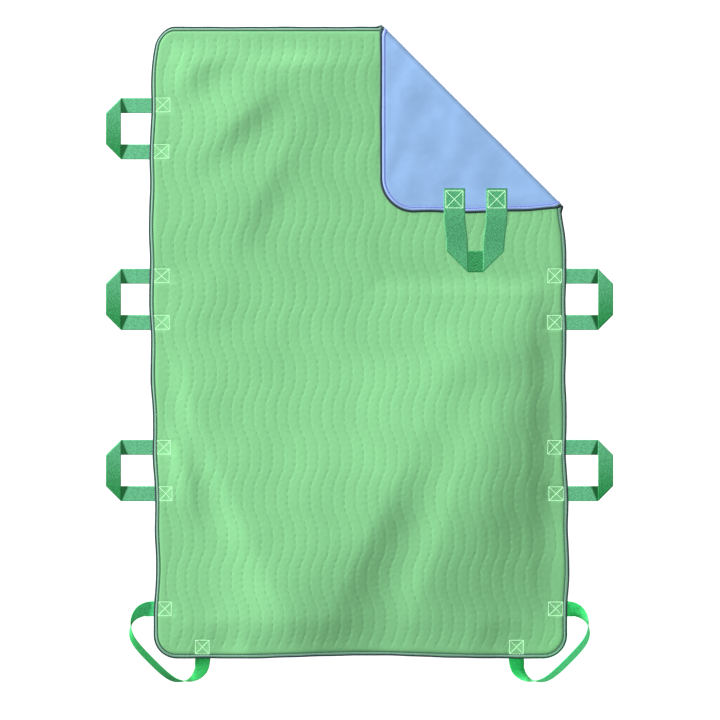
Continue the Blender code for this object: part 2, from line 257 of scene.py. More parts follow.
def grid_faces(rows, columns, wrap_rows=False, wrap_columns=False, flip=False):
    """Four-sided faces of a grid of points, which may close on itself either way."""
    down = np.arange(rows if wrap_rows else rows - 1)
    over = np.arange(columns if wrap_columns else columns - 1)
    row, column = np.meshgrid(down, over, indexing="ij")
    below, beside = (row + 1) % rows, (column + 1) % columns
    corners = ((row, column), (row, beside), (below, beside), (below, column))
    quads = np.stack([r * columns + c for r, c in corners], axis=-1).reshape(-1, 4)
    return (quads[:, ::-1] if flip else quads).tolist()


def tube_faces(rings, sides, closed, flip=False):
    """Faces of a tube of rings, closed on itself or capped at both ends."""
    faces = grid_faces(rings, sides, closed, True, flip)
    if not closed:
        first = list(range(sides))
        last = list(range((rings - 1) * sides, rings * sides))
        faces += [last, first[::-1]] if flip else [last[::-1], first]
    return faces


def finish_piece(obj, look, nodes):
    """Gives a piece its material and hides the CAD nodes that it stands for."""
    obj.data.materials.append(LOOKS[look])
    if nodes:
        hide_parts(*nodes)
    return obj


def across_fold(name, flat, faces, look, nodes=(), uvs=None):
    """A piece of cloth that crosses the fold line: built flat, then folded."""
    obj = new_object(name, flat, faces, flat[..., :2] if uvs is None else uvs)
    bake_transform(obj)
    obj.data.vertices.foreach_set("co", folded(flat).astype(np.float32).ravel())
    obj.data.update()
    return finish_piece(obj, look, nodes)


# ---------------- materials

def linear(colour):
    """A colour as on a screen, from 0 to 255, in Blender's linear values."""
    shares = [value / 255 for value in colour]
    return tuple(s / 12.92 if s <= 0.04045 else ((s + 0.055) / 1.055) ** 2.4 for s in shares)


class Shader:
    """A Principled material that is built node by node."""

    def __init__(self, name, roughness, sheen=0.0, sheen_tint=(1, 1, 1)):
        self.material = bpy.data.materials.new(name)
        self.material.use_nodes = True
        self.tree = self.material.node_tree
        self.surface = self.tree.nodes["Principled BSDF"]
        self.surface.inputs["Roughness"].default_value = roughness
        self.surface.inputs["Specular IOR Level"].default_value = 0.25
        self.surface.inputs["Sheen Weight"].default_value = sheen
        self.surface.inputs["Sheen Roughness"].default_value = 0.5
        self.surface.inputs["Sheen Tint"].default_value = (*sheen_tint, 1)

    def add(self, kind, sockets=None, **settings):
        """A new node with its settings, each named socket set to a value or joined to an output."""
        node = self.tree.nodes.new(kind)
        for name, value in settings.items():
            setattr(node, name, value)
        for name, value in (sockets or {}).items():
            self.set(node.inputs[name], value)
        return node

    def set(self, socket, value):
        if isinstance(value, bpy.types.NodeSocket):
            self.tree.links.new(value, socket)
        else:
            socket.default_value = value

    def cloth_place(self):
        """The place on the cloth as it was cut, in metres."""
        return self.add("ShaderNodeUVMap", uv_map="cloth").outputs["UV"]

    def scaled(self, place, x, y, turn=0.0):
        sockets = {"Scale": (x, y, 1), "Rotation": (0, 0, turn), "Vector": place}
        return self.add("ShaderNodeMapping", sockets).outputs["Vector"]

    def noise(self, place, scale, detail=3.0):
        sockets = {"Scale": scale, "Detail": detail, "Vector": place}
        return self.add("ShaderNodeTexNoise", sockets).outputs["Fac"]

    def wave(self, place, scale, direction="X", distortion=0.0):
        sockets = {"Scale": scale, "Distortion": distortion, "Vector": place}
        return self.add("ShaderNodeTexWave", sockets, bands_direction=direction).outputs["Fac"]

    def math(self, operation, first, second):
        node = self.add("ShaderNodeMath", operation=operation)
        self.set(node.inputs[0], first)
        self.set(node.inputs[1], second)
        return node.outputs["Value"]

    def ramp(self, factor, low, high, start=0.3, end=0.7):
        node = self.add("ShaderNodeValToRGB", {"Fac": factor})
        stops = zip(node.color_ramp.elements, (start, end), (low, high))
        for element, position, colour in stops:
            element.position = position
            element.color = (*colour, 1)
        return node.outputs["Color"]

    def mixed(self, factor, first, second):
        node = self.add("ShaderNodeMix", {"Factor": factor}, data_type="RGBA")
        colour_a, colour_b = [socket for socket in node.inputs if socket.type == "RGBA"]
        self.set(colour_a, first)
        self.set(colour_b, second)
        return next(socket for socket in node.outputs if socket.type == "RGBA")

    def colour(self, source):
        self.set(self.surface.inputs["Base Color"], source)

    def bump(self, height, strength, distance):
        sockets = {"Strength": strength, "Distance": distance, "Height": height}
        self.set(self.surface.inputs["Normal"], self.add("ShaderNodeBump", sockets).outputs["Normal"])


def shades(colour, darker, lighter):
    """A colour as on a screen, darkened and lightened by the given shares, as linear values."""
    colour = linear(colour)
    return tuple(c * darker for c in colour), tuple(min(c * lighter, 1) for c in colour)


def brushed_knit(name, colour, variation=0.10):
    """Soft brushed knit: fine loops in rows, a faint nap and slow changes of tone."""
    shader = Shader(name, 0.92, sheen=0.25, sheen_tint=(0.85, 1.0, 0.88))
    place = shader.cloth_place()
    nap = shader.noise(place, 420.0, 4.0)
    slow = shader.noise(place, 9.0, 2.0)
    fine = shader.ramp(nap, *shades(colour, 1 - variation, 1 + variation))
    broad = shader.ramp(slow, *shades(colour, 1 - 0.6 * variation, 1 + 0.6 * variation), 0.35, 0.65)
    shader.colour(shader.mixed(0.5, fine, broad))
    rows = shader.wave(place, 260.0, "Y", 0.6)
    columns = shader.wave(place, 210.0, "X", 0.6)
    loops = shader.math("MULTIPLY", rows, columns)
    shader.bump(shader.math("ADD", loops, nap), 0.35, 0.25 * MM)
    return shader.material


def coated_taffeta(name, colour):
    """Smooth coated cloth: a faint square weave, soft wrinkles and a low gloss."""
    shader = Shader(name, 0.55, sheen=0.1, sheen_tint=(0.8, 0.9, 1.0))
    place = shader.cloth_place()
    slow = shader.noise(place, 14.0, 3.0)
    shader.colour(shader.ramp(slow, *shades(colour, 0.93, 1.07), 0.35, 0.65))
    warp = shader.wave(place, 330.0, "X", 0.3)
    weft = shader.wave(place, 330.0, "Y", 0.3)
    weave = shader.math("MULTIPLY", shader.math("ADD", warp, weft), 0.25)
    creases = shader.noise(shader.scaled(place, 1.0, 0.6, 0.5), 26.0, 4.0)
    height = shader.math("ADD", shader.math("MULTIPLY", creases, 6.0), weave)
    shader.bump(height, 0.35, 0.30 * MM)
    return shader.material


def webbing_yarns(shader, place):
    """How far the yarns of a strap stand out: diagonal twill, speckle and bigger clumps."""
    twill = shader.wave(shader.scaled(place, 1.0, 1.0, math.radians(45)), 70.0, "X", 3.0)
    speckle = shader.noise(place, 330.0, 3.0)
    clumps = shader.noise(shader.scaled(place, 1.0, 2.0, 0.5), 130.0, 2.0)
    speckle, clumps = shader.math("MULTIPLY", speckle, 0.75), shader.math("MULTIPLY", clumps, 0.35)
    uneven = shader.math("ADD", speckle, clumps)
    return shader.math("ADD", shader.math("MULTIPLY", twill, 0.15), uneven)


def webbing_weave(name, leg_colour, grip_colour, painted_shade_colour):
    """Woven strap: diagonal yarns with dark gaps, paler at its ends than at its grip.

    The second place on the cloth says how far a point is into the grip, and how much painted
    shade it takes: the strap's own shadow in the pocket where it folds under itself, and on the
    foot straps where they stand on edge.
    """
    shader = Shader(name, 0.9)
    place = shader.cloth_place()
    shade_shares = shader.add("ShaderNodeUVMap", uv_map="zones").outputs["UV"]
    zones = shader.add("ShaderNodeSeparateXYZ", {"Vector": shade_shares})
    weave = webbing_yarns(shader, place)
    leg = shader.ramp(weave, *shades(leg_colour, 0.62, 1.30), 0.46, 0.80)
    grip = shader.ramp(weave, *shades(grip_colour, 0.45, 1.45), 0.46, 0.80)
    strap = shader.mixed(zones.outputs["X"], leg, grip)
    # painted shade: a dark copy of the strap's colour, laid where its fold or edge would be in shadow
    painted_shade = shader.ramp(weave, *shades(painted_shade_colour, 0.7, 1.3), 0.50, 0.82)
    shader.colour(shader.mixed(zones.outputs["Y"], strap, painted_shade))
    shader.bump(weave, 0.35, 0.35 * MM)
    return shader.material


def spun_thread(name, colour, sheen=0.3):
    """Stitching thread: tightly twisted, slightly shiny."""
    shader = Shader(name, 0.6, sheen=sheen)
    place = shader.add("ShaderNodeTexCoord").outputs["Object"]
    twist = shader.wave(shader.scaled(place, 1.0, 1.0, 0.7), 900.0, "X", 0.5)
    tone = shader.mixed(0.5, twist, shader.noise(place, 900.0))
    shader.colour(shader.ramp(tone, *shades(colour, 0.75, 1.15)))
    shader.bump(twist, 0.4, 0.15 * MM)
    return shader.material


def wrapped_thread(name, colour, gap_colour):
    """The overlocked edge: threads wrapped side by side over the cloth's edge."""
    shader = Shader(name, 0.75, sheen=0.15)
    place = shader.cloth_place()
    wraps = shader.wave(shader.scaled(place, 1.0, 1.0, 0.12), 0.16 / WRAP_PITCH, "X", 0.4)
    fuzz = shader.noise(place, 500.0, 3.0)
    mixed = shader.math("ADD", shader.math("MULTIPLY", wraps, 0.7), shader.math("MULTIPLY", fuzz, 0.4))
    shader.colour(shader.ramp(mixed, linear(gap_colour), linear(colour), 0.2, 0.8))
    shader.bump(mixed, 0.5, 0.3 * MM)
    return shader.material


def batting(name, colour):
    """Needled soaker felt."""
    shader = Shader(name, 0.95, sheen=0.2)
    place = shader.cloth_place()
    fibres = shader.noise(shader.scaled(place, 1.0, 3.0, 0.4), 300.0, 5.0)
    shader.colour(shader.ramp(fibres, *shades(colour, 0.85, 1.05)))
    shader.bump(fibres, 0.6, 0.4 * MM)
    return shader.material


def milky_film(name, colour):
    """Milky film with a faint emboss."""
    shader = Shader(name, 0.35)
    place = shader.cloth_place()
    emboss = shader.noise(place, 220.0, 2.0)
    shader.colour(shader.ramp(emboss, *shades(colour, 0.94, 1.04)))
    shader.bump(emboss, 0.2, 0.1 * MM)
    return shader.material


# Colours are as on a screen, from 0 to 255
LOOKS = {
    "facing": brushed_knit("facing_knit", (106, 167, 113)),
    "hem_band": brushed_knit("hem_band_knit", (112, 150, 134), 0.06),
    "backing": coated_taffeta("backing_taffeta", (118, 150, 190)),
    "backing_band": coated_taffeta("backing_band_taffeta", (136, 158, 204)),
    "film": milky_film("barrier_film", (200, 208, 216)),
    "core": batting("soaker_felt", (214, 216, 212)),
    "edge": wrapped_thread("edge_thread", (26, 56, 58), (8, 20, 24)),
    "hem": spun_thread("hem_thread", (14, 66, 42), sheen=0.0),
    "backing_hem": spun_thread("backing_hem_thread", (72, 86, 160)),
    "quilting": spun_thread("quilting_thread", (76, 132, 88)),
    "box": spun_thread("box_thread", (164, 210, 170)),
    # each strap's third colour is painted shade
    "webbing": webbing_weave("webbing", (80, 156, 112), (20, 118, 56), (0, 78, 32)),
    # the foot strap's pale and dark colours are painted light and painted shade along it
    "foot_webbing": webbing_weave("foot_webbing", (76, 210, 128), (4, 134, 58), (0, 70, 24)),
}


# ---------------- quilted sheets

def spread(start, end, spacing):
    """Evenly stepped places from start to end, about the given spacing apart."""
    count = max(2, int(round((end - start) / spacing)) + 1)
    return np.linspace(start, end, count)


def centred(middle, length, pitch):
    """Places at a pitch, centred on a length of the pad, that keep off its two edges."""
    count = int((length - 2 * QUILT_START) / pitch)
    first = middle - count * pitch / 2
    return first + pitch * np.arange(count + 1)


# Where the quilting's lines lie across the pad before they wave, and its stitches along the pad
QUILT_COLUMNS = centred(MIDDLE_X, RIGHT - LEFT, QUILT_PITCH)
QUILT_ROWS = centred(MIDDLE_Y, HEAD - FOOT, STITCH_PITCH)


def waved(x, y):
    """The quilting's sideways wave, which dies away towards the edges."""
    inside = smooth((np.minimum(x - LEFT, RIGHT - x) - 4 * MM) / (40 * MM))
    phase = (y - QUILT_PHASE) / QUILT_WAVE * 2 * math.pi
    return x + QUILT_SWING * inside * (np.sin(phase) + 0.10 * np.sin(3 * phase))


# Insets of the facing's outermost rows of points, which are closer round the hem's groove
HEM_GROOVE = HEM_STITCH_INSET / MM
BORDER = np.array([3.2, 5.0, 6.8, HEM_GROOVE - 1, HEM_GROOVE, HEM_GROOVE + 1, 12.0, 16.5, 21.0]) * MM


def grid_lines(low, high, anchors, offsets):
    """Border lines, then lines round each anchor, then border lines."""
    inner = np.concatenate([anchor + np.array(offsets) for anchor in anchors])
    inner = inner[(inner > low + BORDER[-1] + 1 * MM) & (inner < high - BORDER[-1] - 1 * MM)]
    return np.concatenate([low + BORDER, inner, (high - BORDER)[::-1]])


def box_patches():
    """Middle and half size of each crossed square on the pad's own facing."""
    patches = []
    for node in frame["nodes"]:
        if node.endswith("box_stitch") and not node.startswith("corner"):
            low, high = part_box(node)
            patches.append(((low[0] + high[0]) / 2, (low[1] + high[1]) / 2, (high[0] - low[0]) / 2))
    return patches


BOX_PATCHES = box_patches()


def inside_boxes(x, y):
    """1 inside a crossed square, falling to 0 just outside it."""
    share = np.zeros_like(x)
    for mid_x, mid_y, half in BOX_PATCHES:
        out = np.maximum(np.abs(x - mid_x), np.abs(y - mid_y)) - half
        share = np.maximum(share, 1 - smooth((out + 1 * MM) / (4 * MM)))
    return share


def quilt_relief(x, y):
    """Height of the facing over its flat level, at a place before it waves."""
    across = (x - QUILT_COLUMNS[0]) / QUILT_PITCH
    off_line = np.abs(across - np.round(across)) * QUILT_PITCH
    along = (y - QUILT_ROWS[0]) / STITCH_PITCH
    off_stitch = np.abs(along - np.round(along)) * STITCH_PITCH
    groove = hump(off_line, 1.7 * MM)
    dimple = groove * hump(off_stitch, 2.4 * MM)
    pillow = 1 - (2 * off_line / QUILT_PITCH - 1) ** 2
    height = 0.02 * MM * pillow - 0.08 * MM * groove - 0.42 * MM * dimple
    quilted = smooth((edge_distance(x, y) - 14 * MM) / (12 * MM)) * (1 - inside_boxes(x, y))
    return height * quilted


def facing_height(x, y):
    """The facing's top over the flat stack, quilting, hem and sewn patches included."""
    inset = edge_distance(x, y)
    height = quilt_relief(x, y)
    height += 0.14 * MM * ripple(x, y, 0.011, 1.0) * smooth((inset - 10 * MM) / (8 * MM))
    height += 0.25 * MM * smooth((inset - 9 * MM) / (7 * MM))
    height -= 0.75 * MM * hump(inset - HEM_STITCH_INSET, 1.1 * MM)
    return TOP - 0.25 * MM + height - 0.6 * MM * inside_boxes(x, y)


def facing_points(x, y):
    """Where a place on the facing's cut lies, in the flat pad."""
    height = facing_height(x, y)
    return laid(*round_corners(waved(x, y), y), height)


def make_facing():
    """The green quilted sheet, with rows of points close together at its grooves and dimples."""
    round_line = [-10 * MM, -6.2 * MM, -2.1 * MM, 0, 2.1 * MM, 6.2 * MM, 10 * MM]
    round_stitch = [-1.9 * MM, 0, 1.9 * MM, STITCH_PITCH / 2]
    columns = grid_lines(LEFT, RIGHT, QUILT_COLUMNS, round_line)
    rows = grid_lines(FOOT, HEAD, QUILT_ROWS, round_stitch)
    flat = facing_points(*np.meshgrid(columns, rows))
    faces = grid_faces(len(rows), len(columns))
    nodes = ("facing_sheet", "flap_facing_sheet")
    return across_fold("quilted_facing", flat, faces, "facing", nodes)


def make_quilting_thread():
    """The quilting's stitches: one in each dimple of the facing."""
    x, y = (places.ravel() for places in np.meshgrid(QUILT_COLUMNS, QUILT_ROWS))
    on_quilting = inside_boxes(x, y) < 0.3
    x, y = x[on_quilting], y[on_quilting]
    lowered = np.array([0, 0, 0.05 * MM])
    starts = facing_points(x, y - QUILT_STITCH / 2) - lowered
    ends = facing_points(x, y + QUILT_STITCH / 2) - lowered
    flat, faces = stitches(starts, ends, 0.55 * MM)
    return across_fold("quilting_stitches", flat, faces, "quilting")


def make_core():
    """The soaker felt: a closed pad between the facing and the film."""
    low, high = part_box("soaker_core")
    columns = np.linspace(low[0] + 1 * MM, high[0] - 1 * MM, 110)
    rows = np.linspace(low[1] + 1 * MM, high[1] - 1 * MM, 168)
    x, y = np.meshgrid(columns, rows)
    rounded = round_corners(x, y)
    inner = smooth((edge_distance(x, y) - 3 * MM) / (6 * MM))
    soft = 0.25 * MM * ripple(x, y, 0.03, 5.0)
    upper = laid(*rounded, high[2] - 1.35 * MM * (1 - 0.35 * inner) + soft * inner)
    lower = laid(*rounded, np.full_like(x, low[2]))
    count = x.size
    faces = grid_faces(*x.shape)
    faces += [[index + count for index in face[::-1]] for face in faces]
    grid = np.arange(count).reshape(x.shape)
    rim = np.concatenate([grid[0, :-1], grid[:-1, -1], grid[-1, :0:-1], grid[:0:-1, 0]]).tolist()
    for here, there in zip(rim, rim[1:] + rim[:1]):
        faces.append([there, here, here + count, there + count])
    flat = np.concatenate([upper.reshape(-1, 3), lower.reshape(-1, 3)])
    return across_fold("soaker_felt", flat, faces, "core", ("soaker_core", "flap_soaker_core"))


def plain_sheet(name, node, slot, spacing, level, relief=None, flip=False):
    """A thin sheet at one level of the stack, cut to its node's box."""
    low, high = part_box(node)
    columns = spread(low[0], high[0], spacing)
    rows = spread(low[1], high[1], spacing)
    x, y = np.meshgrid(columns, rows)
    height = np.full_like(x, level) + (relief(x, y) if relief else 0)
    flat = laid(*round_corners(x, y), height)
    faces = grid_faces(len(rows), len(columns), flip=flip)
    return across_fold(name, flat, faces, slot, (node, "flap_" + node))


def make_film():
    """The barrier film, at the top of its box."""
    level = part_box("barrier_film")[1][2]
    return plain_sheet("barrier", "barrier_film", "film", 12 * MM, level)


def backing_relief(x, y):
    """Soft wrinkles in the backing, mostly on the folded corner, and its stitched hem."""
    inset = edge_distance(x, y)
    past = smooth(fold_distance(x, y) / 0.05)
    wrinkle = 0.55 * MM * (ripple(x, y, 0.085, 2.0) - 0.4) * smooth((inset - 12 * MM) / 0.03)
    hem = 0.45 * MM * hump(inset - HEM_STITCH_INSET - BACKING_SHIFT, 1.6 * MM)
    return wrinkle * (0.35 + 0.65 * past) + hem


def make_backing():
    """The blue sheet, at the bottom of its box, with its outer face down."""
    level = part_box("backing_sheet")[0][2]
    return plain_sheet("backing", "backing_sheet", "backing", 3.6 * MM, level, backing_relief, True)


# ---------------- the edge

def outline(inset, spacing):
    """Points round the pad's edge at an inset, anticlockwise, with the way out at each."""
    centres = [(x - sign_x * radius, y - sign_y * radius) for x, y, sign_x, sign_y, radius in CORNERS]
    rounds = [radius - inset for *_, radius in CORNERS]
    points, ways = [], []
    for index in range(4):
        following = (index + 1) % 4
        steps = max(3, int((rounds[index] + inset) * math.pi / 2 / spacing))
        angles = np.radians(90 * (index + np.arange(steps) / steps))
        arc_ways = np.stack([np.cos(angles), np.sin(angles)], axis=1)
        points.append(centres[index] + rounds[index] * arc_ways)
        ways.append(arc_ways)
        last = math.radians(90 * (index + 1))
        way = np.array([math.cos(last), math.sin(last)])
        begin = centres[index] + rounds[index] * way
        end = centres[following] + rounds[following] * way
        steps = max(3, int(math.dist(begin, end) / spacing))
        points.append(begin + (end - begin) * (np.arange(steps) / steps)[:, None])
        ways.append(np.tile(way, (steps, 1)))
    return (*np.concatenate(points).T, *np.concatenate(ways).T)


def run_length(x, y):
    """How far round a closed line each of its points is."""
    step = np.hypot(np.diff(x, append=x[0]), np.diff(y, append=y[0]))
    return np.concatenate([[0], np.cumsum(step)[:-1]])


def edge_strip(name, inset, spacing, section, look, nodes=(), wraps=0.0):
    """Sweeps a closed section round the pad. section is (out, up) pairs from the path.

    wraps is how much the section swells over each thread of the overlock, as a share.
    """
    x, y, out_x, out_y = outline(inset, spacing)
    run = run_length(x, y)
    section = np.array(section)
    swell = 1 + wraps * np.cos(2 * math.pi * run / WRAP_PITCH)[:, None] * np.ones(len(section))
    jitter = 0.25 * MM * np.sin(run / 0.031) + 0.2 * MM * np.sin(run / 0.0123 + 1)
    out = section[None, :, 0] * swell + jitter[:, None] * (wraps > 0)
    up = section[None, :, 1] * (1 + 0.6 * (swell - 1))
    around_x = x[:, None] + out_x[:, None] * out
    around_y = y[:, None] + out_y[:, None] * out
    flat = laid(around_x, around_y, (TOP + UNDERSIDE) / 2 + up)
    around = np.linspace(0, 1, len(section)) * 16 * MM
    uvs = np.stack(np.broadcast_arrays(run[:, None], around[None, :]), axis=-1)
    faces = tube_faces(len(x), len(section), True, True)
    return across_fold(name, flat, faces, look, nodes, uvs)


def rounded_section(half_out, half_up, count, power=2.8):
    """Points round a section between an ellipse and a box."""
    angles = 2 * math.pi * np.arange(count) / count
    cos, sin = np.cos(angles), np.sin(angles)
    out = half_out * np.sign(cos) * np.abs(cos) ** (2 / power)
    up = half_up * np.sign(sin) * np.abs(sin) ** (2 / power)
    return zip(out, up)


def make_overlock():
    """The thread wrapped over the pad's edge. It reaches further in on the blue side."""
    half_stack = (TOP - UNDERSIDE) / 2 + 0.2 * MM
    section = [(out - (BACKING_SHIFT if out < 0 and up < -1 * MM else 0), up)
               for out, up in rounded_section(OVERLOCK_WIDTH / 2, half_stack, 10)]
    nodes = ("edge_overlock", "flap_edge_overlock")
    return edge_strip("overlocked_edge", OVERLOCK_WIDTH / 2, 0.6 * MM, section, "edge",
                      nodes, wraps=0.07)


# Section of the bare band between the overlock and the hem's stitches, as (out, up)
BAND_SECTION = np.array([(-1.6, 2.0), (-1.6, 2.55), (-0.8, 2.75), (0.8, 2.75), (1.6, 2.55),
                         (1.6, 2.0)]) * MM
BAND_INSET = OVERLOCK_WIDTH + HEM_BAND_WIDTH / 2
BAND_SPACING = 2.5 * MM


def make_hem_band():
    return edge_strip("hem_band", BAND_INSET, BAND_SPACING, BAND_SECTION[::-1], "hem_band")


def make_backing_band():
    inset, section = BAND_INSET + BACKING_SHIFT, BAND_SECTION * (1, -1)
    return edge_strip("backing_hem_band", inset, BAND_SPACING, section, "backing_band")


# A stitch rises from one hole, lies on the cloth and goes down the other: how far along it, how
# thick and how high each of its rings is, as shares of its length, radius and radius
STITCH_RINGS = (
    (-0.5, 0.6, -1.1),
    (-0.42, 0.95, 0.0),
    (0.0, 1.0, 0.2),
    (0.42, 0.95, 0.0),
    (0.5, 0.6, -1.1),
)
STITCH_SIDES = 6


def stitch_shape():
    """One stitch along X, one unit long and one in radius."""
    points = []
    for along, size, rise in STITCH_RINGS:
        for side in range(STITCH_SIDES):
            angle = 2 * math.pi * side / STITCH_SIDES
            points.append((along, size * math.cos(angle), size * math.sin(angle) + rise))
    return np.array(points), tube_faces(len(STITCH_RINGS), STITCH_SIDES, False, True)


def stitches(starts, ends, radius, up=1.0):
    """Many stitches at once, each from its start to its end point. up is -1 on an underside."""
    shape, faces = stitch_shape()
    along = ends - starts
    length = np.linalg.norm(along, axis=1)[:, None]
    along = along / length
    side = np.stack([-along[:, 1], along[:, 0], np.zeros(len(along))], axis=1)
    side /= np.linalg.norm(side, axis=1)[:, None]
    rise = np.cross(along, side) * up
    middle = (starts + ends) / 2
    points = (middle[:, None] + along[:, None] * (shape[None, :, 0:1] * length[:, None])
              + side[:, None] * shape[None, :, 1:2] * radius * up
              + rise[:, None] * shape[None, :, 2:3] * radius)
    every = [[index + number * len(shape) for index in face]
             for number in range(len(points)) for face in faces]
    return points.reshape(-1, 3), every


def hem_stitches(name, inset, up, height, look, nodes=()):
    """The line of stitches that holds the hem, round the whole pad, at a height(x, y)."""
    x, y, _, _ = outline(inset, 0.5 * MM)
    run = run_length(x, y)
    starts = np.arange(0, run[-1], HEM_STITCH_PITCH)
    ends = np.minimum(starts + HEM_STITCH, run[-1])
    spots = [(np.interp(marks, run, x), np.interp(marks, run, y)) for marks in (starts, ends)]
    starts, ends = (laid(*spot, height(*spot)) for spot in spots)
    flat, faces = stitches(starts, ends, 1.6 * MM, up)
    return across_fold(name, flat, faces, look, nodes)


def make_hem_stitches():
    def height(x, y):
        return facing_height(x, y) + 0.7 * MM

    nodes = ("hem_topstitch", "flap_hem_topstitch")
    return hem_stitches("hem_stitches", HEM_STITCH_INSET, 1.0, height, "hem", nodes)


def make_backing_hem_stitches():
    def height(x, y):
        return np.full_like(x, UNDERSIDE + 0.3 * MM)

    inset = HEM_STITCH_INSET + BACKING_SHIFT
    return hem_stitches("backing_hem_stitches", inset, -1.0, height, "backing_hem")


# ---------------- handles

WEBBING_THICKNESS = 1.5 * MM
ROW_SPACING = 1.5 * MM  # between rows of points along a strap
FOLD_ROLL = 0.95 * MM  # radius of a strap's own 45 degree fold
ROOT_2 = math.sqrt(2)


def strap_section(width, columns=26):
    """Places round a strap's section: across it, and -1 to 1 through its thickness."""
    inner = width / 2 - 0.5 * MM
    across = np.linspace(-inner, inner, columns)
    top = [(a, 1.0) for a in across]
    bottom = [(a, -1.0) for a in across[::-1]]
    return np.array([*top, (width / 2, 0.0), *bottom, (-width / 2, 0.0)])


def woven(along, across, through):
    """Thickness through a strap, with the yarns standing proud."""
    twill = np.cos((along + across) * 2 * math.pi / (3.4 * MM))
    return through * (WEBBING_THICKNESS / 2 - 0.10 * MM + 0.10 * MM * twill * np.abs(through))


def strap_rows(length, fold_at, shear_span):
    """Rows along a strap, finer at its fold, and how far each leans to lie along the fold line."""
    rows = np.arange(0, length + 0.1 * MM, ROW_SPACING)
    rows = rows[np.abs(rows - fold_at) > 4 * MM]
    rows = np.sort(np.concatenate([rows, fold_at + np.linspace(-3.6, 3.6, 19) * MM]))
    rows = np.concatenate([rows[rows < length - 0.2 * MM], [length]])
    shear = smooth((rows - fold_at + shear_span) / shear_span)
    shear *= smooth((length - rows) / max(length - fold_at - 4 * MM, 1 * MM))
    return rows, shear


def straight_half(width, spacing, reach, sewn, taper):
    """Half of a strap from its sewn end to the middle of its grip, as points and places.

    In the handle's own space: X out from the pad's edge, Y along it, Z up from the bed.
    """
    fold_x = reach - width / 2
    leg_y = spacing / 2
    rows, shear = strap_rows(sewn + fold_x + leg_y - taper, sewn + fold_x, width * 1.2)
    across, through = strap_section(width).T[:, None]
    along = rows[:, None] - shear[:, None] * across
    x = along - sewn
    y = leg_y + across * np.ones_like(x)
    past = ((x - fold_x) + (y - leg_y)) / ROOT_2
    turn = np.clip(past / FOLD_ROLL, 0, math.pi)
    back = FOLD_ROLL * np.sin(turn) - np.maximum(past - math.pi * FOLD_ROLL, 0)
    height = np.where(past < 0, 0, FOLD_ROLL * (1 - np.cos(turn)))
    thick = woven(along, across, through * np.ones_like(x))
    shift = (np.where(past < 0, past, back) + thick * np.sin(turn) - past) / ROOT_2
    up = WEBBING_THICKNESS / 2 + height + thick * np.cos(turn)
    leaning = taper * smooth(x / (reach - width))
    points = np.stack([x + shift, y + shift - leaning, up], axis=-1)
    grip = smooth((past + 1 * MM) / (2 * MM))
    # painted shade: a dark triangle on the leg just before the grip, where the fold's shadow falls
    painted_shade_length = 0.42 * width * (0.5 - across / width)
    painted_shade = smooth((x - (reach - width) + painted_shade_length + 1 * MM) / (3 * MM)) * (1 - grip)
    return points, along, np.broadcast_to(across, x.shape), np.stack([grip, painted_shade], axis=-1)


def straight_strap(width, spacing, reach, sewn, taper=0.0):
    """The whole strap, both halves joined at the middle of the grip."""
    half, along, across, zones = straight_half(width, spacing, reach, sewn, taper)
    half[-1, :, 1] = 0.0
    mirror = half[:-1][::-1].copy()
    mirror[..., 1] *= -1
    points = np.concatenate([half, mirror])
    full = np.concatenate([along, 2 * along[-1].max() - along[:-1][::-1]])
    wide = np.concatenate([across, across[:-1][::-1]])
    return points, np.stack([full, wide], axis=-1), np.concatenate([zones, zones[:-1][::-1]])


def strap_object(handle, points, places, zones, slot="webbing", flip=False):
    """A handle's strap, which stands for its loop and its two sewn ends."""
    faces = tube_faces(*points.shape[:2], False, flip)
    obj = new_object(f"{handle}_strap", points, faces, places, zones)
    return finish_piece(obj, slot, nodes_of(handle, "_loop") + nodes_of(handle, "sewn_end"))


def moved(points, matrix):
    array = np.array(matrix)
    return points @ array[:3, :3].T + array[:3, 3]


def blend_at_root(strap):
    """Bakes a strap's place in the scene into its points."""
    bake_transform(strap)


def nodes_of(handle, kind):
    return sorted(node for node in frame["nodes"] if node.startswith(handle) and node.endswith(kind))


def make_side_handle(handle):
    """A handle on a long side. Its grip is darker at its foot end than at its head end."""
    loop_low, loop_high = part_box(f"{handle}_loop")
    end_low, end_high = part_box(nodes_of(handle, "sewn_end")[0])
    edge_x, turn = (LEFT, math.pi) if loop_high[0] < 0 else (RIGHT, 0.0)
    width = end_high[1] - end_low[1]
    spacing = loop_high[1] - loop_low[1] - width
    reach = max(abs(loop_low[0]), abs(loop_high[0])) - abs(edge_x) - 0.4 * MM
    sewn = abs(edge_x) - min(abs(end_low[0]), abs(end_high[0]))
    points, places, zones = straight_strap(width, spacing, reach, sewn)
    middle_y = JOINTS[f"{handle}_swing"]["pos_m"][1]
    space = Matrix.Translation((edge_x, middle_y, 0)) @ Matrix.Rotation(turn, 4, "Z")
    points = moved(points, space)
    lower = smooth(0.5 - (points[..., 1] - middle_y) / (spacing + width))
    zones[..., 0] *= 0.15 + 0.85 * lower
    blend_at_root(strap_object(handle, points, places, zones))


def fold_over():
    """The matrix that takes the unfolded corner to the folded one."""
    centre = Vector(FOLD_POINT)
    turn = Matrix.Rotation(math.pi, 4, Vector(FOLD_AXIS))
    return Matrix.Translation(centre) @ turn @ Matrix.Translation(-centre)


